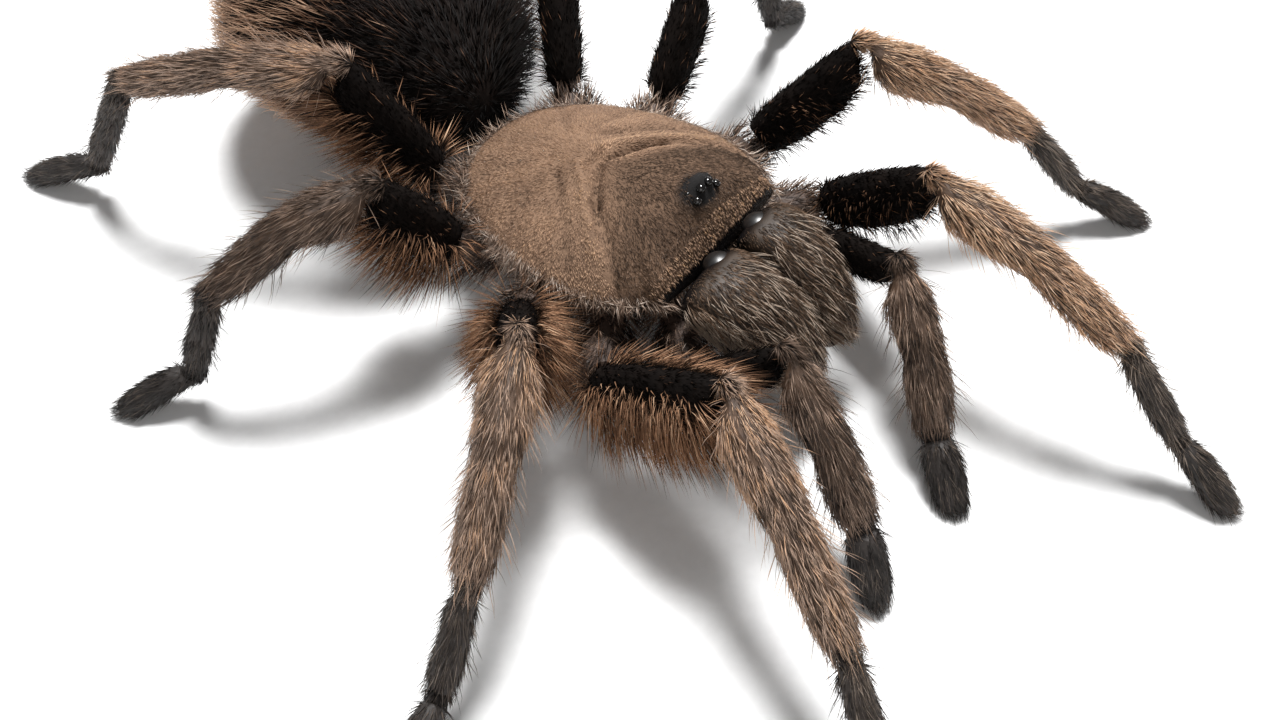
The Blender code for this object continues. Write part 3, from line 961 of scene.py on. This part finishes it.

# %% [markdown]
# ## Hair on the limbs
# On a limb the hair lies along the part, towards the foot. Each part's direction is the long axis of its
# own solid, pointing away from the body. Each limb has its own share of warm hair and its own tone offset,
# which is in part painted light: the left first and second legs are painted lighter and the third legs
# darker, as the lamp falls on them, and the palps are darker.

# %% Flow along a limb
BODY_MIDDLE = np.array([2.4, 2.2, 9.0]) * MM
LIMBS = [f"leg_{n}" for n in (1, 2, 3, 4)] + ["palp"]
PARTS = ("coxa", "femur", "patella_tibia", "metatarsus", "tarsus")
SIDES = ("left", "right")
# In part painted light: the left first and second legs are lighter and the third legs darker, as the lamp
# falls on them.
LIMB_TONE_AND_LIGHT = {
    "leg_1_left": 0.3, "leg_2_left": 0.32, "leg_1": 0.05, "leg_2": 0.03, "leg_3": -0.28, "leg_4": -0.02,
    "palp": -0.24,
}
LIMB_WARMTH = {"leg_1": 1.0, "leg_2": 1.0, "leg_3": 0.85, "leg_4": 0.85, "palp": 0.5}
END_CAP = 0.8  # hairs on faces that look more than this along the part are left out


def axis_of(name):
    """A part's long axis, from the body towards the foot."""
    points = evaluated(name)[0]
    middle = points.mean(0)
    axis = np.linalg.svd(points - middle, full_matrices=False)[2][0]
    return axis if axis @ (middle - BODY_MIDDLE) > 0 else -axis


AXES = {name: axis_of(name) for name in nodes if kind_of(name) in PARTS}


def of_limb(table, name):
    """The table's value for the limb that a part belongs to."""
    return next(value for limb, value in table.items() if limb in name)


def limb_fur(part, side, per_mm2, seed, open_end=False):
    """Fur on one kind of part of a side's limbs, with its flow, share of the way along, shade (a tone offset,
    in part painted light) and warmth.
    """
    names = [f"{limb}_{side}_{part}" for limb in LIMBS if f"{limb}_{side}_{part}" in nodes]
    root, normal, owner = scatter(names, per_mm2, seed)
    heights = [evaluated(name)[0] @ AXES[name] for name in names]
    flow, low, span, shade, warmth = (np.array(column)[owner] for column in (
        [AXES[name] for name in names], [h.min() for h in heights], [np.ptp(h) for h in heights],
        [of_limb(LIMB_TONE_AND_LIGHT, name) for name in names], [of_limb(LIMB_WARMTH, name) for name in names],
    ))
    fur = Fur(seed, root=root, normal=normal, flow=flow, shade=shade, warmth=warmth)
    fur.share = ((root * flow).sum(1) - low) / span
    fur.facing = (normal * flow).sum(1)
    fur.thin((fur.facing > -END_CAP) & ((fur.facing < END_CAP) | open_end))
    return fur


print("parts with a direction", len(AXES))

# %% [markdown]
# ### Joint skin
# Between two shells of a limb is a fold of dark soft skin. A small ball fills each joint, so that no
# light comes through.

# %% Joint skin
JOINT_ROWS = 5
JOINT_SIDES = 10
JOINT_FILL = 0.82
END_SLICE = 0.6 * MM
JOINT_OVERLAP = 0.4 * MM
joint_skin = shell_finish("joint_skin", (20, 15, 13), (38, 30, 25), 0.7)
JOINTS = []


def end_of(name, towards_foot):
    """Middle and half width of a part's end."""
    points = evaluated(name)[0]
    height = points @ AXES[name]
    edge = height > height.max() - END_SLICE if towards_foot else height < height.min() + END_SLICE
    middle = points[edge].mean(0)
    flat = points[edge] - middle
    flat -= np.outer(flat @ AXES[name], AXES[name])
    return middle, np.linalg.norm(flat, axis=1).max()


def ball():
    """Points of a ball of size 1: a pole, rows of points, a pole."""
    a = np.linspace(0, np.pi, JOINT_ROWS + 2)[1:-1, None]
    b = np.arange(JOINT_SIDES) / JOINT_SIDES * 2 * np.pi
    rows = np.broadcast_arrays(np.sin(a) * np.cos(b), np.sin(a) * np.sin(b), -np.cos(a))
    return np.concatenate([[(0, 0, -1)], np.stack(rows, 2).reshape(-1, 3), [(0, 0, 1)]])


def joint_balls(side):
    """All joint balls of one side in a single mesh; what hair needs to know of each goes into JOINTS."""
    points, faces = [], []
    for limb in LIMBS:
        chain = [f"{limb}_{side}_{part}" for part in PARTS if f"{limb}_{side}_{part}" in nodes]
        for inner, outer in zip(chain, chain[1:]):
            near_end, near_wide = end_of(inner, True)
            far_end, far_wide = end_of(outer, False)
            turn = np.array(Vector(unit(far_end - near_end + 1e-7)).to_track_quat("Z", "Y").to_matrix())
            middle = (near_end + far_end) / 2
            wide = JOINT_FILL * min(near_wide, far_wide)
            long = max(wide * 0.8, np.linalg.norm(far_end - near_end) / 2 + JOINT_OVERLAP)
            sizes = np.array([wide, wide, long])
            JOINTS.append((side, inner, outer, middle, turn, sizes))
            faces += ring_faces(JOINT_SIDES, JOINT_ROWS, len(points))
            points += (ball() * sizes @ turn.T + middle).tolist()
    mesh = bpy.data.meshes.new(f"joint_skin_{side}")
    mesh.from_pydata(points, [], faces)
    piece(mesh, joint_skin)
    return len(faces)


print("joint skin faces", [joint_balls(side) for side in SIDES], "balls", len(JOINTS))

# %% [markdown]
# ### Hair over the joints
# The balls would show as bare beads, so short hair covers them. It leans towards the foot and takes the
# colour of the part that it leads to.

# %% Hair over the joints
def joint_hair(part, side, per_ball, seed, finish, slot, tone, length):
    """Short hair on the balls in front of one kind of part."""
    dice = np.random.default_rng(seed)
    balls = []
    for where, inner, outer, middle, turn, sizes in JOINTS:
        if where == side and kind_of(outer) == part:
            out = unit(dice.normal(size=(per_ball, 3)))
            flow = np.tile(unit(AXES[outer] + 0.5 * AXES[inner]), (per_ball, 1))
            shade = np.full(per_ball, of_limb(LIMB_TONE_AND_LIGHT, outer))
            balls.append((out * sizes @ turn.T + middle, unit(out / sizes @ turn.T), flow, shade))
    root, normal, flow, shade = (np.concatenate(column) for column in zip(*balls))
    fur = Fur(seed, dice, root=root, normal=normal, flow=flow, shade=shade)
    fur.thin(np.abs((normal * flow).sum(1)) < 0.9)
    fur.cut(length, (0.07, 0.1))
    fur.tone = tone + fur.shade + 0.12 * fur.jitter()
    fur.grow(f"{part}_joint_hair_{side}", finish, slot, (30, 10, 12, 12), 0)


for number, side in enumerate(SIDES):
    joint_hair("femur", side, 160, 60 + number, PALE_HAIR, "coxa_hair", 0.25, (1.0, 2.0))
    joint_hair("patella_tibia", side, 360, 70 + number, TAN_HAIR, "leg_tan_hair", 0.5, (0.9, 1.7))
    joint_hair("metatarsus", side, 220, 80 + number, FOOT_HAIR, "metatarsus_hair", 0.6, (0.8, 1.4))
    joint_hair("tarsus", side, 200, 90 + number, FOOT_HAIR, "foot_hair", 0.45, (0.7, 1.2))

# %% [markdown]
# ### Patella and tibia
# Long fine hairs stream along the shell over a short dark coat. They are warmer at the knee, a pale and a
# dark ring mark the joint of the two parts, and two bare lines part the hair along the top. Sparse longer
# hairs stand off.

# %% Patella and tibia hair
LINE_ANGLE = 28
LINE_WIDTH = 6


def knee_fur(side, per_mm2, seed):
    """Fur with its tone, and how close each hair is to one of the two bare lines."""
    fur = limb_fur("patella_tibia", side, per_mm2, seed)
    across = unit(np.cross(np.array([0, 0, 1.0]), fur.flow))
    angle = np.degrees(np.arctan2((fur.normal * across).sum(1), fur.up))
    fur.line = bell(np.abs(angle), LINE_ANGLE, LINE_WIDTH) * (fur.share > 0.06) * (fur.share < 0.95)
    fur.tone = 0.52 + 0.12 * fur.jitter() + 0.1 * fur.patches(3.0) + fur.shade
    fur.tone += 0.26 * bell(fur.share, 0, 0.2) - 0.1 * (fur.up < -0.2)
    fur.tone += 0.2 * bell(fur.share, 0.35, 0.03) - 0.3 * bell(fur.share, 0.41, 0.022)
    return fur


def guard_hair(side, part, per_mm2, seed, finish, slot, length, tone):
    """The sparse longer hairs that stand off a part."""
    fur = limb_fur(part, side, per_mm2, seed)
    fur.cut(length, (0.045, 0.065))
    fur.tone = tone + fur.shade + 0.15 * fur.jitter()
    fur.grow(f"{part}_guard_hair_{side}", finish, slot, (46, 26, 13, 8), 2)


for number, side in enumerate(SIDES):
    coat = knee_fur(side, 7.0, 100 + number)
    coat.tone -= 0.2 + 0.2 * coat.line
    coat.cut((0.7, 1.2), (0.08, 0.12))
    coat.grow(f"knee_coat_{side}", TAN_HAIR, "leg_tan_hair", (24, 20, 10, 12), 0, 0.1)
    fur = knee_fur(side, 16.5, 120 + number)
    fur.thin((fur.chance() > 0.9 * fur.line) & (fur.facing > -0.4))
    fur.cut((1.3, 2.6), (0.05, 0.077))
    fur.grow(f"knee_hair_{side}", TAN_HAIR, "leg_tan_hair", (17, 4, 7, 7))
    guard_hair(side, "patella_tibia", 1.3, 140 + number, TAN_HAIR, "leg_tan_hair", (2.2, 3.6), 0.5)

# %% [markdown]
# ### Femur
# Black velvet on top with a few tan hairs. Below hangs a thick brown fringe, long and red-brown on the
# right side, short and dark on the left.

# %% Femur hair
def femur_hair(side, seed, warm):
    fur = limb_fur("femur", side, 12.5, seed)
    under = np.clip(0.5 - fur.up, 0, 0.7) * warm * fur.warmth**8
    fur.tone = 0.12 + 0.08 * fur.jitter() + 0.06 * fur.patches(3.0)
    fur.tone += 0.9 * under + 0.4 * bell(fur.share, 1, 0.06) + 0.4 * (fur.chance() < 0.05)
    fur.cut((0.9, 1.6), (0.07, 0.11), 1.0, 0.8 * under)
    fur.grow(f"femur_hair_{side}", FEMUR_HAIR, "femur_hair", (24, 10, 9, 10), 0, 0.1, 0.1)


def fringe_hair(side, seed, warm, per_mm2, length):
    fur = limb_fur("femur", side, per_mm2, seed)
    fur.thin(fur.up < 2.6 * fur.warmth - 2.02 - 0.4 * fur.chance())
    fur.cut(length, (0.065, 0.095), (0.5 + 0.5 * fur.warmth) * (1.04 - 0.5 * fur.up))
    fur.tone = 0.3 + 0.36 * warm * fur.warmth + 0.14 * fur.jitter() + 0.1 * fur.patches(2.0)
    fur.grow(f"femur_fringe_{side}", FEMUR_HAIR, "femur_hair", (52, 36, 12, 9), 1, 0.0, 0.7)


femur_hair("left", 200, 0.25)
femur_hair("right", 201, 1.0)
fringe_hair("left", 240, 0.2, 5.0, (1.0, 1.9))
fringe_hair("right", 241, 1.0, 19.0, (2.4, 4.8))

# %% [markdown]
# ### Feet
# The last two parts are dark grey, with dense short hair that ends in a soft pad under each foot.

# %% Metatarsus and tarsus hair
def foot_hair(part, side, seed, slot, tone):
    fur = limb_fur(part, side, 21.0, seed, part == "tarsus")
    fur.tone = tone + 0.2 * fur.jitter() + 0.14 * fur.patches(1.8) + 0.4 * fur.shade
    fur.tone += 0.1 * (fur.up > 0.6) - 0.12 * (fur.up < 0)
    fur.cut((1.0, 2.1), (0.06, 0.1))
    fur.grow(f"{part}_hair_{side}", FOOT_HAIR, slot, (19, 6, 8, 10), 0, 0.08)


for number, side in enumerate(SIDES):
    foot_hair("metatarsus", side, 300 + number, "metatarsus_hair", 0.5)
    foot_hair("tarsus", side, 320 + number, "foot_hair", 0.4)
    guard_hair(side, "metatarsus", 1.5, 340 + number, FOOT_HAIR, "metatarsus_hair", (1.6, 2.6), 0.6)

# %% [markdown]
# ### Hips
# The short parts next to the body carry pale, untidy hair, long enough to hide the gaps between them. The
# soft skin over them has brown hair that fills what is left.

# %% Hip hair
def hip_hair(side, seed):
    fur = limb_fur("coxa", side, 11.5, seed)
    fur.tone = 0.23 + 0.2 * fur.jitter() + 0.24 * fur.patches(2.6)
    fur.cut((1.6, 3.4), (0.065, 0.105), 1.2 - 0.35 * fur.up)
    fur.grow(f"hip_hair_{side}", PALE_HAIR, "coxa_hair", (42, 24, 24, 22), 1, 0.1, 0.25)


def side_skin_hair(seed):
    fur = fur_on(["side_skin"], 10.0, seed)
    fur.thin(fur.up < 0.8)
    fur.flow = fur.normal * (1, 1, 0) + np.array([0, 0.3, -0.6])
    fur.tone = 0.3 + 0.2 * fur.jitter() + 0.2 * fur.patches(2.0)
    fur.cut((2.0, 4.2), (0.07, 0.1), np.where(fur.up < -0.6, 0.6, 1.0))
    fur.grow("side_skin_hair", PALE_HAIR, "underside_skin", (55, 30, 20, 22))


for number, side in enumerate(SIDES):
    hip_hair(side, 400 + number)
side_skin_hair(420)

# %% [markdown]
# ## Hair on the shield
# Velvet first: very short, very many, all leaning outwards from the pit, with small bald pores along the
# grooves. Then a tan fringe round the rim, which hides the seam between shield and hips, and a comb of
# short hairs that overhangs the black band in front.

# %% Shield hair
PORE_LINES = ((2.0, -0.6, 10.0, -9.0, 46), (3.4, 1.2, 8.8, -3.6, 16), (1.0, 0.5, 3.0, 3.5, 8))


def head_flow(local, z=0.0):
    """Outwards from the pit, in the scene's directions."""
    return unit(np.column_stack([local[:, 0], local[:, 1] - 0.5, np.full(len(local), z)])) @ HEAD_AXES


def pores(seed):
    """Places of the bald pores: along the grooves, a little to one side."""
    dice = np.random.default_rng(seed)
    spots = []
    for x1, y1, x2, y2, count in PORE_LINES:
        t = dice.random(count)[:, None]
        line = np.array([[x1, y1]]) * (1 - t) + np.array([[x2, y2]]) * t + dice.normal(0, 0.35, (count, 2))
        spots.append(line * np.where(dice.random((count, 1)) < 0.5, [[1, 1]], [[-1, 1]]))
    return np.concatenate(spots)


def velvet_hair(seed):
    fur = fur_on(["carapace_shield"], 50.0, seed)
    x, y = fur.local[:, 0], fur.local[:, 1]
    spots = pores(seed + 7)
    bald = np.zeros(len(x), bool)
    for spot, size in zip(spots, fur.dice.uniform(0.14, 0.3, len(spots))):
        bald |= np.hypot(x - spot[0], y - spot[1]) < size
    off_hill = hump(x, y, *EYE_HILL, 2.1, 1.35) < 0.4 + 0.3 * fur.chance()
    fur.thin((fur.up > 0.0) & off_hill & (y - front_edge(x) > BAND_WIDTH) & ~bald)
    x, y = fur.local[:, 0], fur.local[:, 1]
    # Painted shade and light: hairs along the grooves are painted darker, and along the one raised fold
    # lighter.
    groove_shade_and_light = sum(-spoke[4] * bell(spoke_distance(x, y, spoke), 0, 0.5) for spoke in SPOKES)
    fur.tone = 0.52 + 0.13 * fur.jitter() + 0.1 * fur.patches(4.0) - 0.5 * groove_shade_and_light
    fur.tone -= 0.48 * np.clip((-y - 0.8 * np.abs(x) - 0.5) / 2, 0, 1)
    fur.flow = head_flow(fur.local)
    fur.cut((0.3, 0.55), (0.05, 0.08))
    fur.grow("carapace_velvet_hair", VELVET_HAIR, "carapace_velvet", (24, 8, 16, 14), 0, 0.02)


def rim_hair(seed):
    fur = fur_on(["carapace_shield"], 40.0, seed)
    x, y, z = fur.local.T
    at_rim = (z < 0.75) & (np.hypot(x, y) > 7.5) & (y > -11.9)
    fur.thin(at_rim & (fur.chance() < np.where(fur.up > 0, 0.9, 0.35)))
    fur.tone = 0.58 + 0.17 * fur.jitter() + 0.12 * fur.patches(2.0)
    fur.flow = head_flow(fur.local, -0.25)
    fur.cut((0.9, 2.5), (0.055, 0.085))
    fur.grow("carapace_rim_hair", PALE_HAIR, "carapace_velvet", (14, -6, 18, 26), 1, 0.0, 0.15)


def front_comb(seed):
    fur = fur_on(["carapace_shield"], 34.0, seed)
    x, y, z = fur.local.T
    room = y - front_edge(x)
    fur.thin((room > BAND_WIDTH) & (room < BAND_WIDTH + 0.9) & (z > 0.5) & (fur.up > 0.1))
    fur.tone = 0.55 + 0.18 * fur.jitter() + 0.15 * fur.patches(0.9)
    fur.flow = np.array([0, -1.0, -0.5]) @ HEAD_AXES
    fur.cut((0.35, 0.7), (0.05, 0.075))
    fur.grow("carapace_front_comb", VELVET_HAIR, "carapace_velvet", (20, 0, 10, 8), 1, 0.0, 0.1)


velvet_hair(500)
rim_hair(520)
front_comb(540)

# %% [markdown]
# ## Hair on the jaws
# Fine brown velvet near the base turns into long pale and dark hairs that sweep forwards and down.

# %% Jaw hair
JAWS = ["jaw_left", "jaw_right"]


def jaw_hair(seed):
    fur = fur_on(JAWS, 34.0, seed)
    x, y, _ = fur.local.T
    fur.from_knob = np.hypot(np.abs(x) - 2.7, y + 13.5)
    seam = (np.abs(x) < 0.5) & (fur.up < 0.2)
    fur.thin((fur.from_knob > 1.25 + 0.3 * fur.chance()) & (y < -13.5) & ~seam)
    x, y, _ = fur.local.T
    ahead = np.clip((-14.0 - y) / 5, 0, 1)
    outer = np.clip((np.abs(x) - 4.6) / 1.6, 0, 1) * (fur.up < 0.5) * (x < 0)
    # Painted light: hairs on the jaws' lower and side faces, and most on the near jaw's outer side, are
    # painted lighter.
    fur.tone = 0.42 + (0.1 + 0.12 * ahead) * fur.jitter() + 0.1 * fur.patches(2.5) + 0.25 * outer
    fur.tone += 0.4 * np.clip(0.35 - fur.up, 0, 1) - 0.1 * (1 - ahead) * (fur.from_knob < 3.5)
    fur.flow = np.array([0, -1.0, -0.4]) @ HEAD_AXES
    fur.cut((0.8, 1.3), (0.045, 0.07), 0.6 + 0.9 * ahead + 1.2 * outer)
    fur.grow("jaw_hair", JAW_HAIR, "jaw_hair", (15, 4, 9, 10), 1, 0.06)


def jaw_long_hair(seed):
    fur = fur_on(JAWS, 6.0, seed)
    fur.thin((fur.local[:, 1] < -15.0 - fur.chance()) & (fur.up > -0.5))
    fur.flow = np.array([0, -1.0, -0.6]) @ HEAD_AXES
    fur.cut((1.6, 2.6), (0.045, 0.065))
    fur.tone = np.where(fur.chance() < 0.5, 0.85, 0.1) + 0.08 * fur.jitter()
    fur.grow("jaw_long_hair", JAW_HAIR, "jaw_hair", (26, 8, 12, 10), 2, 0.0, 0.15)


jaw_hair(600)
jaw_long_hair(620)

# %% [markdown]
# ## Hair on the abdomen
# A black short coat with long reddish hairs over it, all flowing backwards, sparser in front so that the
# front stays dark. In front on the left, the hair stands out towards the last leg.

# %% Abdomen hair
ABDOMEN_BOX = np.array([tuple(corner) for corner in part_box("abdomen")])
ABDOMEN_MIDDLE = ABDOMEN_BOX.mean(0)


def abdomen_fur(per_mm2, seed):
    """Fur with how far back each hair is, and how far it is to the left side in front."""
    fur = fur_on(["abdomen"], per_mm2, seed)
    fur.left = fur.root[:, 0] - ABDOMEN_MIDDLE[0]
    behind = fur.root[:, 1] - ABDOMEN_BOX[0, 1]
    fur.back = np.clip(behind / (12 * MM), 0, 1)
    fur.far = np.clip(fur.left / (9 * MM), 0, 1) * np.clip(1.6 - behind / (14 * MM), 0, 1)
    fur.flow = fur.left[:, None] * (14, 0, 0) + (0, 1.0, -0.25)
    return fur


def abdomen_coat(seed):
    fur = abdomen_fur(7.5, seed)
    fur.tone = -0.02 + 0.14 * fur.back + 0.07 * fur.jitter() + 0.07 * fur.patches(5.0)
    fur.cut((1.6, 2.8), (0.1, 0.15), 1 + 0.4 * fur.far)
    comb = (30 + 22 * fur.far, 14 + 22 * fur.far, 12, 16)
    fur.grow("abdomen_coat", ABDOMEN_HAIR, "abdomen_hair", comb, 0, 0.1)


def abdomen_long_hair(seed):
    fur = abdomen_fur(6.5, seed)
    fur.thin(fur.chance() < 0.35 + 0.65 * np.maximum(fur.back, fur.far))
    rear = np.clip((fur.root[:, 1] - 23 * MM) / (14 * MM), 0, 1)
    flank = np.clip(np.abs(fur.left) / (13 * MM), 0, 1)
    fur.tone = 0.12 + 0.16 * fur.back + 0.62 * rear + 0.26 * flank * fur.back - 0.25 * fur.far
    fur.tone += 0.15 * fur.jitter() + 0.1 * fur.patches(5, 0)
    fur.cut((2.6, 4.8), (0.065, 0.1), 0.6 + 0.4 * np.maximum(fur.back, fur.far))
    comb = (36 + 20 * fur.far, 8 + 20 * fur.far, 11, 16)
    fur.grow("abdomen_long_hair", ABDOMEN_HAIR, "abdomen_hair", comb)


abdomen_coat(700)
abdomen_long_hair(720)

# %% [markdown]
# ## Hair below and behind
# The breast plate, the waist and the two spinnerets get a plain short coat that flows backwards.

# %% Underside hair
def under_hair(names, label, per_mm2, seed, slot):
    fur = fur_on(names, per_mm2, seed)
    fur.flow = np.array([0.0, 1.0, -0.2])
    fur.tone = 0.35 + 0.15 * fur.jitter()
    fur.cut((0.8, 1.6), (0.08, 0.12))
    fur.grow(label, ABDOMEN_HAIR, slot, (30, 15, 18, 18), 0, 0.05)


under_hair(["sternum", "pedicel"], "sternum_hair", 5.5, 800, "underside_skin")
under_hair(["spinneret_left", "spinneret_right"], "spinneret_hair", 14.0, 820, "spinneret_skin")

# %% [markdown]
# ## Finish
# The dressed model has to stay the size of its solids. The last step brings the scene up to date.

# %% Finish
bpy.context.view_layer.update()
